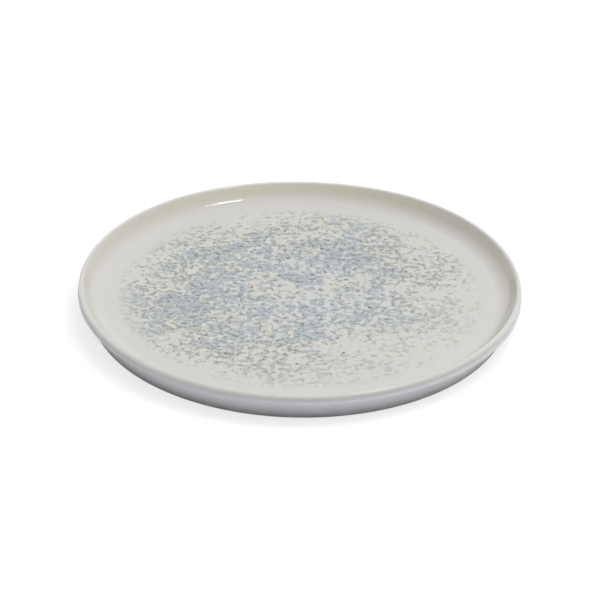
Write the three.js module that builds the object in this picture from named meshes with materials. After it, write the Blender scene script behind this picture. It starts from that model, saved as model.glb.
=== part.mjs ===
// A flat stoneware dinner plate with a low, rolled rim: one fired clay body, and the coats of
// glaze that cover it. Millimetres, +Z up, with the origin on the table at the plate's centre.
import * as THREE from "three";

// The plate as it is measured when finished, glaze included
const plateDiameter = 280; // across the ridge, the widest line round the rim
const plateHeight = 21.1; // table to the crest of the lip
const floorHeight = 11.7; // table to the flat floor of the well
const coveRound = 12; // radius of the curve from the flat floor of the well to its inner wall
const coveSlope = 53; // degrees from level that the inner wall rises, from the cove to the lip

// The rolled rim, from the lip down to the foot
const lipThickness = 3.4; // the bead that the fingers hold
const lipSetback = 0.4; // how far the bead stays inside the ridge
const lipTuck = 8; // degrees that the bead turns under on its outer side
const ridgeDrop = 4.8; // crest of the lip to the ridge
const ridgeRound = 1.0; // radius of the ridge itself
const ridgeTop = 22; // degrees above level where its rounding starts
const ridgeUnder = 70; // degrees below level where it ends
const waistDepth = 0.05; // the soft hollow between the bead and the ridge
const undercutWidth = 2.9; // how far the wall steps in under the ridge
const undercutHeight = 3; // ridge to the top of the lower wall
const wallRun = 5.2; // how much further in the lower wall runs, down to its bottom corner
const wallBulge = 0.4; // how far it bows out on the way
const cornerRound = 3.5; // the bottom corner, rolled under to the foot
const cornerTop = 35; // degrees below level where the corner starts

// The foot that the plate stands on, and the recess inside it
const landWidth = 6; // the flat ring that touches the table
const landRound = 1.5; // the inner edge of that ring
const recessDepth = 4.3; // before its glaze
const recessFillet = 4; // how wide the curve is that joins the foot to the recess

// The coats
const glazeThickness = 0.4;
const bondGap = 0.05; // left free between a coat and what it lies on
const bareFoot = 0.5; // height of the band above the table that is wiped clean of glaze
const speckleMargin = 5; // left plain between the sprayed coat and the cove
const speckleThickness = 0.12;
const speckleFade = 36; // width of the band in which it thins out
const speckleEdge = 0.02; // thickness where it ends

// A pressed plate is never quite round or level: how far the rim strays
const ovalOut = 0.3; // two lobes, outwards
const trefoilOut = 0.25; // three lobes, outwards
const waveUp = 0.25; // four lobes, upwards
const rippleUp = 0.15; // five lobes, upwards
const waveTurn = -40; // degrees from +X to a high point of each wave
const rippleTurn = -26;
const ovalTurn = 75;
const trefoilTurn = 35;

// Steps round the plate, and along each curve of its outline
const roundSteps = 64;
const curveSteps = 6;
const tightSteps = 4;
const flatSteps = 2;

const plateRadius = plateDiameter / 2;
const coat = glazeThickness + bondGap;
const degrees = Math.PI / 180;

function arc(centre, radiusAcross, radiusUp, from, to, steps) {
  const clockwise = to < from;
  return new THREE.EllipseCurve(
    ...centre, radiusAcross, radiusUp, from * degrees, to * degrees, clockwise,
  ).getPoints(steps);
}

function line(from, to, steps) {
  return new THREE.LineCurve(from, to).getPoints(steps);
}

// The last point of one stretch is where the next one starts, so it is kept once.
function joined(...stretches) {
  const points = [];
  for (const stretch of stretches) {
    const last = points.at(-1);
    const meets = last && last.distanceTo(stretch[0]) < bondGap / 10;
    points.push(...stretch.slice(meets ? 1 : 0));
  }
  return points;
}

// The clay's outline is the finished one less its coat, in (radius, height), in four zones.
// The face runs from the middle of the well up the cove and the inner wall and over the lip. The
// wall touches the bead of the lip, and the cove touches both the wall and the flat floor.
const lipRadius = lipThickness / 2;
const lipCentre = new THREE.Vector2(plateRadius - lipSetback - lipRadius, plateHeight - lipRadius);
const slope = coveSlope * degrees;
const wallRise = lipCentre.y + lipRadius * Math.cos(slope) - floorHeight;
const wallFoot = lipCentre.x - lipRadius * Math.sin(slope) - wallRise / Math.tan(slope);
const wellRadius = wallFoot - coveRound * Math.tan(slope / 2);

function faceZone() {
  const floor = line(
    new THREE.Vector2(0, floorHeight - coat),
    new THREE.Vector2(wellRadius, floorHeight - coat),
    flatSteps,
  );
  const coveCentre = [wellRadius, floorHeight + coveRound];
  const cove = arc(coveCentre, coveRound + coat, coveRound + coat, -90, coveSlope - 90, curveSteps - 1);
  const lip = arc(lipCentre, lipRadius - coat, lipRadius - coat, 90 + coveSlope, -lipTuck, curveSteps);
  return joined(floor, cove, line(cove.at(-1), lip[0], 1), lip);
}

// The outside runs from the bead through the waist and the ridge, and down the wall to the foot.
const ridgeHeight = plateHeight - ridgeDrop;
const ridgeCentre = new THREE.Vector2(plateRadius - ridgeRound, ridgeHeight);
const wallTop = new THREE.Vector2(plateRadius - undercutWidth - coat, ridgeHeight - undercutHeight);
const cornerCentre = new THREE.Vector2(wallTop.x - wallRun - cornerRound, cornerRound);

function outsideZone(start) {
  const ridge = arc(ridgeCentre, ridgeRound - coat, ridgeRound - coat, ridgeTop, -ridgeUnder, tightSteps);
  // The pull is the corner of the curve that makes the hollow as deep as it should be halfway.
  const ends = start.clone().add(ridge[0]).divideScalar(2);
  const waistRadius = plateRadius - lipSetback - waistDepth - coat;
  const pull = new THREE.Vector2(2 * waistRadius - ends.x, ends.y);
  const waist = new THREE.QuadraticBezierCurve(start, pull, ridge[0]);
  // The coats of the face and the outside meet at the bead, with the bond gap between them.
  const waistPoints = waist.getPoints(tightSteps);
  waistPoints[0] = waist.getPointAt(bondGap / waist.getLength());
  const corner = arc(cornerCentre, cornerRound, cornerRound, -cornerTop, -90, tightSteps - 1);
  const wallPull = wallTop.clone().add(corner[0]).divideScalar(2).add(new THREE.Vector2(2 * wallBulge, 0));
  const wall = new THREE.QuadraticBezierCurve(wallTop, wallPull, corner[0]).getPoints(flatSteps);
  // Under the ridge the wall runs on up in its own slope, then hollows out to meet the ridge.
  const ridgeEnd = ridge.at(-1);
  const wallLean = (wallTop.x - wallPull.x) / (wallTop.y - wallPull.y);
  const hollow = new THREE.Vector2(wallTop.x + wallLean * (ridgeEnd.y - wallTop.y), ridgeEnd.y);
  const undercut = new THREE.QuadraticBezierCurve(ridgeEnd, hollow, wallTop).getPoints(tightSteps);
  return joined(waistPoints, ridge, undercut, wall, corner);
}

// The foot is the bare ring on the table. The recess runs from its inner edge to the middle.
const landInner = cornerCentre.x - landWidth;
const recessRadius = landInner - landRound - recessFillet;

function footZone() {
  const land = line(cornerCentre.clone().setY(0), new THREE.Vector2(landInner, 0), 1);
  const edge = arc([landInner, landRound], landRound, landRound, -90, -180, flatSteps + 1);
  return joined(land, edge);
}

function recessZone() {
  const curve = arc([recessRadius, landRound], recessFillet, recessDepth - landRound, 0, 90, tightSteps);
  const ceiling = line(
    new THREE.Vector2(recessRadius, recessDepth),
    new THREE.Vector2(0, recessDepth),
    flatSteps,
  );
  return joined(curve, ceiling);
}

const face = faceZone();
const outside = outsideZone(face.at(-1));
const foot = footZone();
const recess = recessZone();
const outline = joined(face, outside, foot, recess);

// Which way is out, at each point of the clay's outline
function outwards(index) {
  const along = new THREE.Vector2();
  if (index > 0) along.add(outline[index].clone().sub(outline[index - 1]).normalize());
  if (index < outline.length - 1) along.add(outline[index + 1].clone().sub(outline[index]).normalize());
  const out = new THREE.Vector2(-along.y, along.x).normalize();
  const onAxis = outline[index].x === 0;
  return onAxis ? new THREE.Vector2(0, Math.sign(out.y)) : out;
}

function lifted(points, distance) {
  return points.map((point) => {
    const index = outline.findIndex((kept) => kept.distanceTo(point) < bondGap / 10);
    return point.clone().addScaledVector(outwards(index), distance);
  });
}

// A coat lies between two lines that follow the clay, one bond gap off it and one at its surface.
function coatOutline(points) {
  const surface = lifted(points, coat);
  const underside = lifted(points, bondGap).reverse();
  return closed([...surface, ...underside]);
}

// The sprayed coat lies on the well's floor, level in the middle, and thins out to its edge.
function speckleOutline() {
  const bed = floorHeight + bondGap;
  const top = bed + speckleThickness;
  const radius = wellRadius - speckleMargin;
  const level = line(new THREE.Vector2(0, top), new THREE.Vector2(radius - speckleFade, top), 1);
  const fade = new THREE.QuadraticBezierCurve(
    level.at(-1),
    new THREE.Vector2(radius - speckleFade / 2, top),
    new THREE.Vector2(radius, bed + speckleEdge),
  ).getPoints(flatSteps);
  const under = line(new THREE.Vector2(radius, bed), new THREE.Vector2(0, bed), 1);
  return joined(level, fade, under);
}

function closed(points) {
  const reachesAxis = points[0].x === 0;
  return reachesAxis ? points : [...points, points[0].clone()];
}

// The hand-made stray of a point: the whole plate is a little out of round, more so towards the
// rim, and only the rim above the floor waves up and down, so the floor and the foot stay level.
function stray(point) {
  const turn = Math.atan2(point.y, point.x);
  const lobes = (count, size, from) => size * Math.cos(count * (turn - from * degrees));
  const radius = Math.hypot(point.x, point.y);
  const share = Math.min(radius / plateRadius, 1) ** 2;
  const out = share * (lobes(2, ovalOut, ovalTurn) + lobes(3, trefoilOut, trefoilTurn));
  const above = THREE.MathUtils.clamp((point.z - floorHeight) / (plateHeight - floorHeight), 0, 1);
  const up = above * (lobes(4, waveUp, waveTurn) + lobes(5, rippleUp, rippleTurn));
  return point.add(new THREE.Vector3(Math.cos(turn) * out, Math.sin(turn) * out, up));
}

function turned(points) {
  const geometry = new THREE.LatheGeometry([...points].reverse(), roundSteps);
  geometry.rotateX(Math.PI / 2);
  const position = geometry.getAttribute("position");
  const point = new THREE.Vector3();
  for (let index = 0; index < position.count; index++) {
    stray(point.fromBufferAttribute(position, index));
    position.setXYZ(index, point.x, point.y, point.z);
  }
  geometry.computeVertexNormals();
  return geometry;
}

const clay = new THREE.MeshStandardMaterial({ color: 0xb9ac98, roughness: 0.85, metalness: 0 });
const ivoryGlaze = new THREE.MeshStandardMaterial({ color: 0xd8d7d2, roughness: 0.18, metalness: 0 });
const coolGlaze = new THREE.MeshStandardMaterial({ color: 0xcfcdd2, roughness: 0.22, metalness: 0 });
const blueGlaze = new THREE.MeshStandardMaterial({ color: 0xbcc4ca, roughness: 0.2, metalness: 0 });

const plate = new THREE.Group();

function add(name, points, material) {
  const mesh = new THREE.Mesh(turned(points), material);
  mesh.name = name;
  plate.add(mesh);
}

// The outside coat stops where the bare band starts.
const glazedOutside = outside.filter((point) => point.y > bareFoot);

add("clay_body", outline, clay);
add("face_glaze", coatOutline(face), ivoryGlaze);
add("speckle_glaze", speckleOutline(), blueGlaze);
add("outside_glaze", coatOutline(glazedOutside), coolGlaze);
add("recess_glaze", coatOutline(recess), coolGlaze);

export default plate;
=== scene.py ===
# %% [markdown]
# # A speckled stoneware plate
# This lesson dresses a flat dinner plate with a low, rolled rim. The plate's solids already exist, so
# the first step loads them as a fixed frame: every piece made here sits in the same place, in metres,
# with +Z up and the table at zero.

import bmesh
import bpy
import numpy as np
from math import cos, pi, radians, sin, tan
from mathutils import Matrix, Vector


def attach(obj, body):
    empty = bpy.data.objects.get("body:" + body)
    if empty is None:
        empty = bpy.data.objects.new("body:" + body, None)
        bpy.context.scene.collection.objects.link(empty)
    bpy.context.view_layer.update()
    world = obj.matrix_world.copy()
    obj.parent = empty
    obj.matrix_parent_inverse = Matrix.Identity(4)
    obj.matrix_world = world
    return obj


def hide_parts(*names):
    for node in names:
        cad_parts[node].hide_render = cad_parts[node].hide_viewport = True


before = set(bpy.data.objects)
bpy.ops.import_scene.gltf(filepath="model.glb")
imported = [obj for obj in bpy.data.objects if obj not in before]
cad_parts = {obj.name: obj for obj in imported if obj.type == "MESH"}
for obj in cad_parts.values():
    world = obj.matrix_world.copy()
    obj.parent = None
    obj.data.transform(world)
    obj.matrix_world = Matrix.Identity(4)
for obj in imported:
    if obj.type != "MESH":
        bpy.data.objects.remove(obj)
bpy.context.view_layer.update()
print("pieces of the frame:", sorted(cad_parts))

# %% [markdown]
# ## One outline for the whole plate
# A plate is turned, so its shape is one outline swept round an axis. It could be drawn as a curve and
# spun with a Screw modifier, but four coats of glaze have to follow the clay exactly. So the outline
# is worked out as points, each a distance from the axis and a height, and every coat is made from the
# same points. Lengths are in millimetres and angles in degrees. They are those of the finished plate;
# the clay lies one coat deeper.

# %% Curves of the outline
def arc(centre, across, up, start, end, steps):
    turn = np.radians(np.linspace(start, end, steps + 1))
    return np.column_stack([centre[0] + across * np.cos(turn), centre[1] + up * np.sin(turn)])


def bend(start, pull, end, steps):
    t = np.linspace(0, 1, steps + 1)[:, None]
    return (1 - t) ** 2 * np.array(start) + 2 * t * (1 - t) * np.array(pull) + t**2 * np.array(end)


def straight(start, end, steps):
    return np.linspace(start, end, steps + 1)


def join(*stretches):
    return np.vstack([stretches[0], *[stretch[1:] for stretch in stretches[1:]]])


# %% [markdown]
# ### The face
# The face of the plate runs from the middle of the well, up the cove and over the bead of the lip. The
# cove and the lip are arcs, and the inner wall is the straight line that touches both. Its slope and the
# height of the floor decide how far the flat of the well reaches.

# %% Sizes of the face
PLATE_RADIUS = 140.0
PLATE_HEIGHT = 21.1
FLOOR_HEIGHT = 11.7
COVE_ROUND = 12.0
COVE_SLOPE = 53
LIP_THICKNESS = 3.4
LIP_SETBACK = 0.4  # how far the lip lies inside the ridge
LIP_TUCK = 24  # how far the bead rolls under on the outside
GLAZE = 0.4
BOND = 0.05  # stands in for the fused layer between clay and glaze
COAT = GLAZE + BOND
print("plate:", 2 * PLATE_RADIUS, "mm across,", PLATE_HEIGHT, "mm high")

# %% The face
lip_radius = LIP_THICKNESS / 2
lip_centre = (PLATE_RADIUS - LIP_SETBACK - lip_radius, PLATE_HEIGHT - lip_radius)
lip_core = lip_radius - COAT
slope = radians(COVE_SLOPE)
rise = lip_centre[1] + lip_radius * cos(slope) - FLOOR_HEIGHT
wall_foot = lip_centre[0] - lip_radius * sin(slope) - rise / tan(slope)
well_radius = wall_foot - COVE_ROUND * tan(slope / 2)
clay_floor = FLOOR_HEIGHT - COAT
floor = straight((0, clay_floor), (well_radius, clay_floor), steps=40)
cove_centre = (well_radius, FLOOR_HEIGHT + COVE_ROUND)
cove_core = COVE_ROUND + COAT
cove = arc(cove_centre, cove_core, cove_core, -90, COVE_SLOPE - 90, steps=24)
lip = arc(lip_centre, lip_core, lip_core, 90 + COVE_SLOPE, -LIP_TUCK, steps=24)
inner_wall = straight(cove[-1], lip[0], steps=8)
face = join(floor, cove, inner_wall, lip)
print("flat of the well:", round(2 * well_radius, 1), "mm across")

# %% [markdown]
# ### The outside
# Under the lip runs a shallow groove, the waist. It swells to a ridge, the widest line of the plate.
# Under the ridge the wall is cut back, bows down and rolls under to the foot. The waist, the undercut and
# the wall are bends with one pull point each, because a potter's rib leaves such even curves.

# %% Sizes of the outside
RIDGE_DROP = 5.4  # from the top of the lip
RIDGE_ROUND = 1.0
RIDGE_TOP = 41  # how far its round reaches up
RIDGE_UNDER = 88  # and how far down
WAIST_DEPTH = 0.33
UNDERCUT_WIDTH = 2.7
UNDERCUT_HEIGHT = 1.9
WALL_RUN = 5.4
WALL_BULGE = 0.4
CORNER_ROUND = 3.5
CORNER_TOP = 35
ridge_height = PLATE_HEIGHT - RIDGE_DROP
print("the ridge lies", round(ridge_height, 2), "mm above the table")

# %% The outside
ridge_core = RIDGE_ROUND - COAT
ridge_centre = (PLATE_RADIUS - RIDGE_ROUND, ridge_height)
ridge = arc(ridge_centre, ridge_core, ridge_core, RIDGE_TOP, -RIDGE_UNDER, steps=14)
ends = (lip[-1] + ridge[0]) / 2
waist_pull = (2 * (PLATE_RADIUS - LIP_SETBACK - WAIST_DEPTH - COAT) - ends[0], ends[1])
waist = bend(lip[-1], waist_pull, ridge[0], steps=14)
wall_top = np.array([PLATE_RADIUS - UNDERCUT_WIDTH - COAT, ridge_height - UNDERCUT_HEIGHT])
corner_centre = (wall_top[0] - WALL_RUN - CORNER_ROUND, CORNER_ROUND)
corner = arc(corner_centre, CORNER_ROUND, CORNER_ROUND, -CORNER_TOP, -90, steps=14)
wall_pull = (wall_top + corner[0]) / 2 + (2 * WALL_BULGE, 0)
wall = bend(wall_top, wall_pull, corner[0], steps=16)
wall_slope = (wall_top[0] - wall_pull[0]) / (wall_top[1] - wall_pull[1])
hollow = (wall_top[0] + wall_slope * (ridge[-1][1] - wall_top[1]), ridge[-1][1])
undercut = bend(ridge[-1], hollow, wall_top, steps=12)
outside = join(waist, ridge, undercut, wall, corner)
print("the wall leans in by", round(wall_top[0] - corner[0][0], 2), "mm")

# %% [markdown]
# ### The foot and the recess
# The plate stands on a flat ring, and inside it the base is hollowed a few millimetres, so that the plate
# can't rock on its middle. The outline ends on the axis again, which closes the clay all round.

# %% The foot and the recess
LAND_WIDTH = 6.0
LAND_ROUND = 1.5
RECESS_DEPTH = 4.3
RECESS_FILLET = 4.0
land_inner = corner_centre[0] - LAND_WIDTH
recess_radius = land_inner - LAND_ROUND - RECESS_FILLET
land = np.array([corner[-1], (land_inner, 0)])
land_edge = arc((land_inner, LAND_ROUND), LAND_ROUND, LAND_ROUND, -90, -180, steps=8)
foot = join(land, land_edge)
fillet = arc((recess_radius, LAND_ROUND), RECESS_FILLET, RECESS_DEPTH - LAND_ROUND, 0, 90, steps=12)
ceiling = straight((recess_radius, RECESS_DEPTH), (0, RECESS_DEPTH), steps=12)
recess = join(fillet, ceiling)
outline = join(face, outside, foot, recess)
print("foot ring from", round(2 * land_inner), "to", round(2 * corner_centre[0]), "mm across")

# %% [markdown]
# ## Coats that follow the clay
# Glaze is a skin of even thickness. A Solidify modifier could give one, but each coat stops at its own
# line and keeps the same small gap to the clay. So each point of the clay is moved straight out from the
# surface, by the direction that lies square to the outline there.
#
# Molten glaze also runs down where the face is steep, so the clay's warm colour shows through it on the
# inner wall. How steep each point lies is kept as a number, up to 1 on the inner wall and down to -1 on
# the outer side of the lip, and the glaze's colour reads it later.

# %% Directions
along = np.gradient(outline, axis=0)
along /= np.linalg.norm(along, axis=1)[:, None]
outward = np.column_stack([-along[:, 1], along[:, 0]])
outward[0], outward[-1] = (0, 1), (0, -1)
span = {
    "face": (0, len(face)),
    "outside": (len(face) - 1, len(face) + len(outside) - 1),
    "recess": (len(outline) - len(recess), len(outline)),
}
print("points along the outline:", len(outline))

# %% How steep the face lies
WALL_FROM = 0.97  # upward share of the direction, where the inner wall starts
WALL_RANGE = 0.45
LIP_RANGE = 0.3


def steepness(points, out):
    inner = np.clip((WALL_FROM - out[:, 1]) / WALL_RANGE, 0, 1)
    outer = np.clip((1 - out[:, 1]) / LIP_RANGE, 0, 1)
    return np.where(points[:, 0] < lip_centre[0], inner, -outer)


# %% A coat over one stretch of the outline
def coat_over(first, last, round_start, round_end):
    points, out = outline[first:last], outward[first:last]
    travel = np.concatenate([[0], np.cumsum(np.linalg.norm(np.diff(points, axis=0), axis=1))])
    depth = np.full(len(points), COAT)
    for rounded, distance in ((round_start, travel), (round_end, travel[-1] - travel)):
        if rounded:
            share = np.clip(distance / (2 * GLAZE), 0, 1)
            depth = np.minimum(depth, BOND + GLAZE * np.sqrt(1 - (1 - share) ** 2))
    surface = points + out * depth[:, None]
    underside = points + out * BOND
    steep = steepness(points, out)
    return np.vstack([surface, underside[::-1]]), np.concatenate([steep, steep[::-1]])


# %% [markdown]
# ## The stray of a pressed plate
# A plate that was pressed and fired is never quite round or level. Slow waves, two to five lobes round
# the rim, give it that. They fade to nothing at the floor and the foot, which stay flat, so the plate
# still stands without rocking. On the right the ridge also sags a little, and the groove above it is
# shallower there. A lattice could bend the mesh afterwards, but a rule that moves points by where they
# lie is easier to keep the same for all the coats.

# %% Sag of the ridge
RIDGE_SAG = 1.25
GROOVE_FILL = 0.35
SAG_SIDE = -28  # degrees from the right, towards the front
SAG_POWER = 3  # a higher power keeps the sag to a shorter stretch of the rim
SAG_ABOVE = 4.8
SAG_BELOW = 2.2


def sagged(turn, radius, height):
    off = (height - ridge_height) / np.where(height > ridge_height, SAG_ABOVE, SAG_BELOW)
    side = np.clip(np.cos(turn - radians(SAG_SIDE)), 0, 1) ** SAG_POWER
    side = np.where(radius > lip_centre[0] - (PLATE_HEIGHT - height) / 2, side, 0)
    fill = GROOVE_FILL * side * np.clip(4 * off * (1 - off), 0, 1)
    down = RIDGE_SAG * side * np.clip(np.where(off > 0, 1 - off**2, 1 + off), 0, 1)
    return fill, down


print("the ridge sags by up to", RIDGE_SAG, "mm")

# %% Stray
OUT_WAVES = ((2, 0.3, 75), (3, 0.25, 35))  # lobes, size, where the first one lies
UP_WAVES = ((4, 0.25, -40), (5, 0.15, -26))


def sway(turn, waves):
    return sum(size * np.cos(lobes * (turn - radians(start))) for lobes, size, start in waves)


def strayed(points):
    x, y, height = points.T
    turn, radius = np.arctan2(y, x), np.hypot(x, y)
    fill, down = sagged(turn, radius, height)
    out = np.minimum(radius / PLATE_RADIUS, 1) ** 2 * sway(turn, OUT_WAVES) + fill
    above = np.clip((height - FLOOR_HEIGHT) / (PLATE_HEIGHT - FLOOR_HEIGHT), 0, 1)
    up = above * sway(turn, UP_WAVES) - down
    return np.column_stack([x + np.cos(turn) * out, y + np.sin(turn) * out, height + up])


print("the rim strays by up to", sum(wave[1] for wave in OUT_WAVES), "mm outwards")

# %% [markdown]
# ## Turning
# Sweeping the outline round the axis gives a grid of points, one ring for each point of the outline.
# The grid is closed round the axis, and for a coat also from its last ring to its first. Points that
# fall together on the axis are merged, which leaves a clean fan of triangles there.

# %% Rings of points and the faces between them
MM_PER_METRE = 1000
ROUND_STEPS = 384
ON_AXIS = 1e-6  # a point nearer to the axis than this lies on it


def rings_of(points):
    turn = np.linspace(0, 2 * pi, ROUND_STEPS, endpoint=False)
    grid = np.empty((len(points), ROUND_STEPS, 3))
    grid[..., 0] = points[:, :1] * np.cos(turn)
    grid[..., 1] = points[:, :1] * np.sin(turn)
    grid[..., 2] = points[:, 1:]
    return strayed(grid.reshape(-1, 3)) / MM_PER_METRE


def faces_of(points):
    place = np.arange(len(points) * ROUND_STEPS).reshape(-1, ROUND_STEPS)
    ends_on_axis = points[0, 0] < ON_AXIS and points[-1, 0] < ON_AXIS
    low = place[:-1] if ends_on_axis else place
    high = place[1:] if ends_on_axis else np.roll(place, -1, axis=0)
    quads = [low, high, np.roll(high, -1, axis=1), np.roll(low, -1, axis=1)]
    return np.stack(quads, axis=-1).reshape(-1, 4)


# %% Turn an outline into a piece
MERGE_WITHIN = 1e-7  # metres
SHARP_FROM = 60  # degrees between two faces


def merged(mesh):
    work = bmesh.new()
    work.from_mesh(mesh)
    bmesh.ops.remove_doubles(work, verts=work.verts, dist=MERGE_WITHIN)
    bmesh.ops.recalc_face_normals(work, faces=work.faces)
    work.to_mesh(mesh)
    work.free()


def turned(name, points, steep=None):
    mesh = bpy.data.meshes.new(name)
    mesh.from_pydata(rings_of(points).tolist(), [], faces_of(points).tolist())
    if steep is not None:
        layer = mesh.attributes.new("steep", "FLOAT", "POINT")
        layer.data.foreach_set("value", np.repeat(steep, ROUND_STEPS).astype(np.float32))
    merged(mesh)
    mesh.shade_smooth()
    mesh.set_sharp_from_angle(angle=radians(SHARP_FROM))
    piece = bpy.data.objects.new(name, mesh)
    bpy.context.scene.collection.objects.link(piece)
    print(name, "has", len(mesh.vertices), "points and", len(mesh.polygons), "faces")
    return piece


# %% The clay body
clay_body = turned("stoneware", outline)

# %% [markdown]
# The ivory coat covers the face to the turn of the lip, and the cooler coat goes on from there. It stops
# with a rounded edge just above the table, because the foot ring is wiped bare so that it can't stick to
# the kiln's shelf. The recess has a small coat of its own.

# %% The coats on the face, the outside and the recess
BARE_BELOW = 0.6  # mm above the table
face_glaze = turned("ivory_coat", *coat_over(*span["face"], False, False))
outside_first, outside_last = span["outside"]
bare_from = int(np.argmax(outline[outside_first:outside_last, 1] < BARE_BELOW)) + outside_first
outside_glaze = turned("outside_coat", *coat_over(outside_first, bare_from, False, True))
recess_glaze = turned("recess_coat", *coat_over(*span["recess"], True, False))

# %% [markdown]
# The second glaze was sprayed over the well. It is a very flat lens on the floor: level in the middle,
# and so thin at its edge that nothing shows where it ends.

# %% The sprayed coat
SPRAY_RADIUS = well_radius - 5
SPRAY_FADE = 36.0
SPRAY_DEPTH = 0.12
SPRAY_EDGE = 0.002  # thickness that is left at its edge
spray_r = np.linspace(0, SPRAY_RADIUS, 49)
spray_share = np.clip((SPRAY_RADIUS - spray_r) / SPRAY_FADE, 0, 1)
spray_rise = (BOND + SPRAY_DEPTH) * spray_share * (2 - spray_share) + SPRAY_EDGE
spray_top = np.column_stack([spray_r, FLOOR_HEIGHT + spray_rise])
spray_under = np.array([(SPRAY_RADIUS, FLOOR_HEIGHT), (0, FLOOR_HEIGHT)])
speckle_glaze = turned("sprayed_coat", np.vstack([spray_top, spray_under]))

# %% [markdown]
# ## Finishes
# All colours are given as the sRGB numbers that a colour picker shows, and turned into the linear
# values that the shaders need. The helpers put one node each into a node tree: a noise, a soft ramp, a
# sum, a mix of two colours. Every pattern is laid out in the plate's own coordinates, in metres, so it
# stays on the plate wherever the plate goes.

# %% Colours and nodes
def tone(red, green, blue):
    share = np.array([red, green, blue]) / 255
    linear = np.where(share <= 0.04045, share / 12.92, ((share + 0.055) / 1.055) ** 2.4)
    return (*linear.tolist(), 1.0)


def new_finish(name):
    finish = bpy.data.materials.new(name)
    finish.use_nodes = True
    return finish.node_tree, finish


def put(tree, kind, links=None, **settings):
    made = tree.nodes.new("ShaderNode" + kind)
    for key, value in settings.items():
        setattr(made, key, value)
    for key, value in (links or {}).items():
        if isinstance(value, bpy.types.NodeSocket):
            tree.links.new(value, made.inputs[key])
        else:
            made.inputs[key].default_value = value
    return made


# %% Places, noises, ramps and mixes
def place_of(tree):
    return put(tree, "TexCoord").outputs["Object"]


def from_middle(tree, place):
    return put(tree, "VectorMath", {0: place}, operation="LENGTH").outputs["Value"]


def towards(tree, place, direction):
    return put(tree, "VectorMath", {0: place, 1: direction}, operation="DOT_PRODUCT").outputs["Value"]


def cloud(tree, place, size_mm, detail=3.0, roughness=0.5, distortion=0.0):
    links = {"Vector": place, "Scale": MM_PER_METRE / size_mm, "Detail": detail}
    links.update({"Roughness": roughness, "Distortion": distortion})
    return put(tree, "TexNoise", links).outputs["Fac"]


def ease(tree, value, low, high, to_low=0.0, to_high=1.0):
    links = {"Value": value, "From Min": low, "From Max": high, "To Min": to_low, "To Max": to_high}
    return put(tree, "MapRange", links, interpolation_type="SMOOTHSTEP").outputs["Result"]


def calc(tree, operation, first, second):
    return put(tree, "Math", {0: first, 1: second}, operation=operation).outputs[0]


def times(tree, first, second):
    return calc(tree, "MULTIPLY", first, second)


def blend(tree, share, first, second):
    return put(tree, "Mix", {0: share, 6: first, 7: second}, data_type="RGBA").outputs[2]


# %% [markdown]
# ### Bare clay
# The foot ring is wiped clean before firing, so the stoneware shows: buff, dry, with fine dark grains
# of grog in it and a slightly open surface. A photograph of clay could be wrapped round it, but two
# noises, one for the grains and one for the drift in tone, do the same and show no seam.

# %% Clay finish
tree, clay_finish = new_finish("bare stoneware")
shader = tree.nodes["Principled BSDF"]
place = place_of(tree)
grain = cloud(tree, place, 0.9, detail=4, roughness=0.7)
drift = cloud(tree, place, 25, detail=2)
buff = blend(tree, ease(tree, drift, 0.35, 0.65), tone(186, 172, 150), tone(199, 187, 168))
flecked = blend(tree, ease(tree, grain, 0.66, 0.72), buff, tone(132, 112, 92))
tree.links.new(flecked, shader.inputs["Base Color"])
shader.inputs["Roughness"].default_value = 0.88
grit = put(tree, "Bump", {"Strength": 0.35, "Distance": 0.0002, "Height": grain})
tree.links.new(grit.outputs["Normal"], shader.inputs["Normal"])
print("made", clay_finish.name)

# %% [markdown]
# ### Ivory glaze
# A warm white, glossy coat. It drifts a little in tone, and it is painted lighter towards the front, as a
# painted light. It is warmer on the inner wall, where the glaze ran thin, and that warmth is painted
# strongest at the back, as a painted warm bounce light from the floor. Over the lip it is painted paler,
# most of all on the left, as a painted light on the outer side of the lip. The thin places could be
# painted by hand, but the number kept on the points already says where they are. The coat is also very
# slightly rippled, at three scales, which keeps its highlights from looking like plastic.

# %% Ivory colour
def ivory_colour(tree, place):
    # painted light: the glaze is lighter towards the front, where more light falls
    painted_light_at_front = towards(tree, place, (0, -2.4, 0))
    drift = calc(tree, "ADD", cloud(tree, place, 60, detail=2), painted_light_at_front)
    return blend(tree, ease(tree, drift, 0.1, 0.9), tone(203, 201, 195), tone(207, 206, 201))


# %% Ripples of a glossy coat
RIPPLES = ((9, 0.3, 0.3), (4.5, 0.15, 0.3), (1.6, 0.05, 0.12))  # size and depth in mm, strength


def glossy(tree, shader, place, roughness):
    shader.inputs["Roughness"].default_value = roughness
    normal = None
    for size_mm, depth_mm, strength in RIPPLES:
        height = cloud(tree, place, size_mm, detail=2)
        links = {"Strength": strength, "Distance": depth_mm / MM_PER_METRE, "Height": height}
        if normal:
            links["Normal"] = normal
        normal = put(tree, "Bump", links).outputs["Normal"]
    tree.links.new(normal, shader.inputs["Normal"])


# %% Ivory finish
tree, ivory_finish = new_finish("ivory glaze")
shader = tree.nodes["Principled BSDF"]
place = place_of(tree)
steep = put(tree, "Attribute", attribute_name="steep").outputs["Fac"]
on_lip = ease(tree, from_middle(tree, place), 0.136, 0.138)
# warmer on the steep inner wall where the glaze ran thin, plus painted warm bounce light, strongest at
# the back
painted_bounce_at_back = ease(tree, towards(tree, place, (0.35, 0.9, 0)), -0.137, 0.137, 0.1, 1.0)
thin_glaze_and_painted_bounce = times(tree, ease(tree, steep, 0, 1), painted_bounce_at_back)
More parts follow.
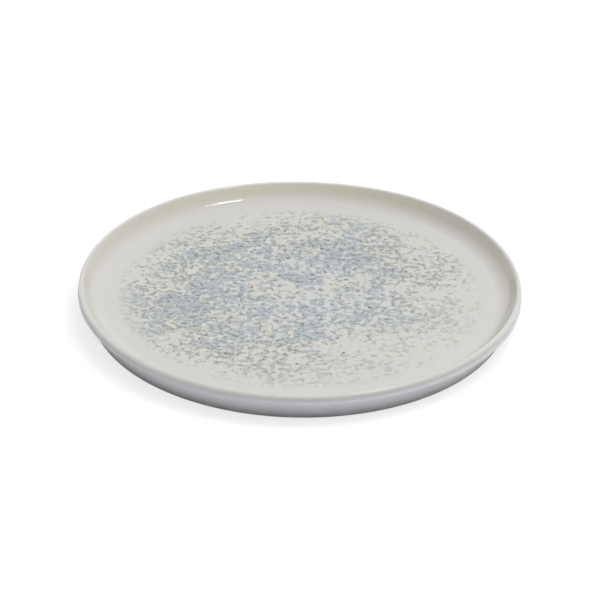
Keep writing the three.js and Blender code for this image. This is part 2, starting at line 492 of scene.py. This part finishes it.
# painted light on the outer side of the lip, strongest on the left
painted_light_at_left = ease(tree, towards(tree, place, (1, 0, 0)), -0.12, 0.11, 1.0, 0.35)
painted_lip_light = times(tree, ease(tree, steep, 0, -1), painted_light_at_left)
ivory = blend(tree, on_lip, ivory_colour(tree, place), tone(211, 210, 206))
ivory = blend(tree, thin_glaze_and_painted_bounce, ivory, tone(213, 209, 194))
ivory = blend(tree, painted_lip_light, ivory, tone(237, 236, 233))
tree.links.new(ivory, shader.inputs["Base Color"])
glossy(tree, shader, place, 0.09)
print("made", ivory_finish.name)

# %% [markdown]
# ### Speckle
# The sprayed glaze reacts with the ivory under it and breaks into flecks. A painted picture of them would
# repeat; noise never does. A fine noise is cut off at a level, and what lies above the level is a fleck.
# A coarser noise heaps the flecks into crowds, and a very slow one makes some sides fuller than others.
# The level rises towards the rim, so the flecks grow fewer and smaller and stop before the cove, along a
# ragged edge. They are palest at the front right, where the spray was thin.

# %% Noises of the speckle
tree, speckle_finish = new_finish("speckled glaze")
shader = tree.nodes["Principled BSDF"]
place = place_of(tree)
radius = from_middle(tree, place)
fuller_left = (-1.689, 0.225, 0)  # a part of the slow noise that makes the left side fuller
away = put(tree, "VectorMath", {0: place, 1: fuller_left}, operation="ADD").outputs[0]
slow = cloud(tree, away, 60, detail=2)
crowd = cloud(tree, place, 14, detail=4, roughness=0.62, distortion=0.5)
fine = cloud(tree, place, 3.8, detail=5, roughness=0.64, distortion=0.3)


def heaped(tree, base, *pulls):
    for noise, pull in pulls:
        part = times(tree, calc(tree, "SUBTRACT", noise, 0.5), pull)
        base = calc(tree, "ADD", base, part)
    return base


print("noises so far:", sum(node.bl_idname == "ShaderNodeTexNoise" for node in tree.nodes))

# %% Where the flecks lie
ragged = heaped(tree, radius, (crowd, 0.025), (slow, 0.02))
fewer = ease(tree, radius, 0.064, 0.104, 0.525, 0.47)
clearer = ease(tree, radius, 0.0, 0.04, 0.41, 0.495)
level = heaped(tree, fine, (crowd, 0.55), (slow, 0.36), (fewer, 1.0), (clearer, 1.0))
softer = ease(tree, radius, 0.070, 0.110, 0.54, 0.575)
edge = ease(tree, radius, 0.112, 0.119, 1.0, 0.0)
fainter = times(tree, ease(tree, ragged, 0.104, 0.127, 0.95, 0.0), edge)
thinned = ease(tree, towards(tree, place, (0.7, -0.7, 0)), 0.03, 0.095, 1.0, 0.6)
flecks = times(tree, ease(tree, level, 0.44, softer), thinned)
flecks = times(tree, flecks, fainter)
print("nodes for the place of the flecks:", len(tree.nodes))

# %% [markdown]
# The flecks are pale blue-grey patches towards the middle and small grey and grey-green ones further out.
# Between them the ground is ivory, a little lighter in places, straw-coloured in others, and faintly
# lilac towards the middle. Dark, thin strokes lie over the flecks, where the sprayed drops were densest.

# %% Colours of the flecks
middle = ease(tree, radius, 0.040, 0.105, 0.56, 0.38)
bluish = ease(tree, heaped(tree, crowd, (slow, 0.6), (middle, 1.0)), 0.42, 0.60)
shade = cloud(tree, place, 2.4, detail=3, roughness=0.6, distortion=0.6)
grey = blend(tree, ease(tree, shade, 0.36, 0.6), tone(138, 142, 138), tone(179, 181, 177))
blue = blend(tree, ease(tree, shade, 0.33, 0.6), tone(144, 153, 159), tone(177, 185, 191))
mark = blend(tree, bluish, grey, blue)
print("nodes with the colours of the flecks:", len(tree.nodes))

# %% Colours of the ground
light = ease(tree, cloud(tree, place, 5, detail=3, roughness=0.6), 0.4, 0.62)
straw = ease(tree, cloud(tree, place, 11, detail=4, roughness=0.6), 0.52, 0.72, 0.0, 0.6)
lilac = ease(tree, heaped(tree, cloud(tree, place, 26, detail=3), (middle, 1.0)), 0.48, 0.72)
ground = blend(tree, times(tree, light, fainter), ivory_colour(tree, place), tone(206, 206, 200))
ground = blend(tree, times(tree, straw, edge), ground, tone(211, 205, 186))
ground = blend(tree, times(tree, lilac, edge), ground, tone(204, 206, 206))
speckled = blend(tree, flecks, ground, mark)
print("nodes with the ground:", len(tree.nodes))

# %% Strokes
drops = cloud(tree, place, 3.0, detail=4, roughness=0.62, distortion=0.3)
strokes = ease(tree, heaped(tree, drops, (level, 0.4)), 0.56, 0.67)
paler = times(tree, ease(tree, ragged, 0.086, 0.114, 0.95, 0.0), thinned)
speckled = blend(tree, times(tree, strokes, paler), speckled, tone(130, 131, 124))
print("nodes with the strokes:", len(tree.nodes))

# %% [markdown]
# A few grains of iron in the clay bleed through as brown specks, some with a pale rusty halo. Scattered
# small pieces could stand for them, but a speck is only a stain in the glaze. So the floor is divided
# into cells with a Voronoi texture, a few of the cells are drawn by their own colour, and each of those
# gets one speck in its middle.

# %% Iron specks
SPECK_CELL = 15  # mm
cell_links = {"Vector": place, "Scale": MM_PER_METRE / SPECK_CELL}
cells = put(tree, "TexVoronoi", cell_links, voronoi_dimensions="2D").outputs
draw = put(tree, "SeparateColor", {0: cells["Color"]}).outputs
chosen = times(tree, ease(tree, draw[0], 0.82, 0.821), ease(tree, radius, 0.085, 0.095, 1, 0))
spot = calc(tree, "ADD", cells["Distance"], times(tree, shade, 0.08))
spot = calc(tree, "ADD", spot, times(tree, draw[1], 0.03))
halo = times(tree, ease(tree, spot, 0.08, 0.2, 0.5, 0), times(tree, chosen, draw[2]))
iron = times(tree, ease(tree, spot, 0.095, 0.125, 0.95, 0), chosen)
speckled = blend(tree, halo, speckled, tone(206, 188, 160))
speckled = blend(tree, iron, speckled, tone(92, 82, 72))
tree.links.new(speckled, shader.inputs["Base Color"])
glossy(tree, shader, place, 0.2)
tree.links.new(ease(tree, radius, 0.1, 0.119, 0.2, 0.09), shader.inputs["Roughness"])
print("made", speckle_finish.name)

# %% [markdown]
# ### Outside glaze
# The outside and the recess carry a cooler white, a touch lilac beside the ivory. The coat is painted
# darker towards the foot and lighter towards the ridge, as painted shade under the rim and near the
# table. Under the lip it meets the ivory and takes on some of its warmth, and it is painted a little
# darker there, as painted shade in the groove. Ramps over the height, broken up by a slow noise, give
# that.

# %% Outside finish
tree, cool_finish = new_finish("cool white glaze")
shader = tree.nodes["Principled BSDF"]
place = place_of(tree)
height = towards(tree, place, (0, 0, 1))
# painted shade: darker towards the foot, lighter up towards the ridge
drift = heaped(tree, ease(tree, height, 0.002, 0.0165), (cloud(tree, place, 30, detail=3), 0.3))
cool = blend(tree, drift, tone(196, 193, 197), tone(228, 226, 231))
# warmer under the lip where it meets the ivory, and a little painted shade in the groove
cool = blend(tree, ease(tree, height, 0.0172, 0.0184), cool, tone(224, 221, 217))
tree.links.new(cool, shader.inputs["Base Color"])
glossy(tree, shader, place, 0.22)
print("made", cool_finish.name)

# %% [markdown]
# ## Put the pieces on the frame
# Each piece takes the place of the solid of the same name, moves with the plate's one body, and gets
# its finish.

# %% Ride, replace and paint
dressing = [
    (clay_body, "clay_body", "clay", clay_finish),
    (face_glaze, "face_glaze", "ivory_glaze", ivory_finish),
    (speckle_glaze, "speckle_glaze", "speckle_glaze", speckle_finish),
    (outside_glaze, "outside_glaze", "cool_glaze", cool_finish),
    (recess_glaze, "recess_glaze", "cool_glaze", cool_finish),
]
for piece, node_name, slot_name, finish in dressing:
    piece.data.materials.append(finish)
    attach(piece, "root")
    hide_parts(node_name)
print("dressed", len(dressing), "pieces")

# %% [markdown]
# ## The studio
# The plate stands on a white table under two broad, glowing sheets. The one on the right is much the
# stronger. A third, weak one stands low at the front left and lifts the rim there. All fade softly
# towards their edges, as cloth in front of a lamp does. They could be large area lamps, but a glow
# painted on the world by direction has no edge at all and costs nothing to render. One small lamp beside
# the right sheet sets the highlights on the cove and the lip.
#
# In the photograph the background is pure white. Lighting the table until it is white would also burn
# out the pale plate, so the table adds some white of its own, only where the camera looks at it, and the
# world is white where the camera or a reflection looks. The table still darkens in the plate's shadow.

# %% What the camera sees
def looked_at(tree, mirrored):
    path = put(tree, "LightPath").outputs
    seen = calc(tree, "MAXIMUM", path["Is Camera Ray"], path["Is Transmission Ray"])
    return calc(tree, "MAXIMUM", seen, path["Is Glossy Ray"]) if mirrored else seen


# %% Table
HALF_TABLE = 4.0
TABLE_DROP = 0.0002  # keeps the foot ring and the table from lying in one plane
TABLE_SHINE = 1.12
SHINE_SHARE = 0.68
table_mesh = bpy.data.meshes.new("table")
table_corners = [(x * HALF_TABLE, y * HALF_TABLE, 0) for x, y in ((-1, -1), (1, -1), (1, 1), (-1, 1))]
table_mesh.from_pydata(table_corners, [], [(0, 1, 2, 3)])
table = bpy.data.objects.new("table", table_mesh)
table.location.z = -TABLE_DROP
bpy.context.scene.collection.objects.link(table)
tree, table_finish = new_finish("white table")
shader = tree.nodes["Principled BSDF"]
shader.inputs["Base Color"].default_value = (0.85, 0.85, 0.85, 1)
shader.inputs["Roughness"].default_value = 1.0
shader.inputs["Specular IOR Level"].default_value = 0.0
shine = put(tree, "Emission", {"Color": (1, 1, 1, 1), "Strength": TABLE_SHINE})
share = times(tree, looked_at(tree, False), SHINE_SHARE)
lit = put(tree, "MixShader", {0: share, 1: shader.outputs[0], 2: shine.outputs[0]})
tree.links.new(lit.outputs[0], tree.nodes["Material Output"].inputs["Surface"])
table_mesh.materials.append(table_finish)
print("table:", 2 * HALF_TABLE, "m wide")

# %% World
SHEETS = (
    ((0.318, 0.042, 0.94), 5.85),  # over the right
    ((-0.342, 0, 0.94), 0.65),  # over the left
    ((-0.69, -0.69, 0.21), 0.75),  # low at the front left
)
SHEET_FADE = 12.0  # a higher power makes a smaller sheet
world = bpy.data.worlds.new("studio")
bpy.context.scene.world = world
world.use_nodes = True
tree = world.node_tree
backdrop = tree.nodes["Background"]
backdrop.inputs["Color"].default_value = (1, 1, 1, 1)
sight = put(tree, "TexCoord").outputs["Generated"]
glow = 0.0
for direction, strength in SHEETS:
    facing = towards(tree, sight, Vector(direction).normalized())
    spread = calc(tree, "POWER", calc(tree, "MAXIMUM", facing, 0.0), SHEET_FADE)
    glow = calc(tree, "ADD", glow, times(tree, spread, strength))
fill = put(tree, "Background", {"Color": (1, 1, 1, 1), "Strength": glow})
choice = put(tree, "MixShader", {0: looked_at(tree, True), 1: fill.outputs[0], 2: backdrop.outputs[0]})
tree.links.new(choice.outputs[0], tree.nodes["World Output"].inputs["Surface"])
print("sheets of light:", len(SHEETS))

# %% Lamp
LAMP_DIRECTION = (0.34, 0.0, 0.94)
LAMP_DISTANCE = 5
LAMP_SIZE = 0.8
LAMP_WATTS = 25
lamp = bpy.data.lights.new("key", "AREA")
lamp.shape = "SQUARE"
lamp.size = LAMP_SIZE
lamp.energy = LAMP_WATTS
key = bpy.data.objects.new("key", lamp)
key.location = Vector(LAMP_DIRECTION).normalized() * LAMP_DISTANCE
key.rotation_mode = "QUATERNION"
key.rotation_quaternion = key.location.to_track_quat("Z", "Y")
bpy.context.scene.collection.objects.link(key)
print("lamp at", [round(c, 2) for c in key.location])

# %% [markdown]
# ## Camera
# The outline of the rim in the photograph is an ellipse half as high as it is wide, so the camera
# looks down by about thirty degrees. A long lens from nearly three metres keeps the ellipse even, as in
# the photograph, and the camera is turned a little, because the plate's far ends aren't quite level.

# %% Camera
LOOK_DOWN = 29.18
DISTANCE = 2.8
LENS = 266.3  # mm, on a sensor of 36 mm
ROLL = 0.827
AIM = (0.00009, 0, 0.0091)
back = Vector((0, -cos(radians(LOOK_DOWN)), sin(radians(LOOK_DOWN))))
camera_data = bpy.data.cameras.new("camera")
camera_data.lens = LENS
camera_data.sensor_width = 36
camera = bpy.data.objects.new("camera", camera_data)
stand = Matrix.Translation(Vector(AIM) + back * DISTANCE)
facing = (-back).to_track_quat("-Z", "Y").to_matrix().to_4x4()
camera.matrix_world = stand @ facing @ Matrix.Rotation(radians(ROLL), 4, "Z")
bpy.context.scene.collection.objects.link(camera)
bpy.context.scene.camera = camera
bpy.context.scene.view_settings.view_transform = "Standard"
print("camera looks down by", LOOK_DOWN, "degrees")
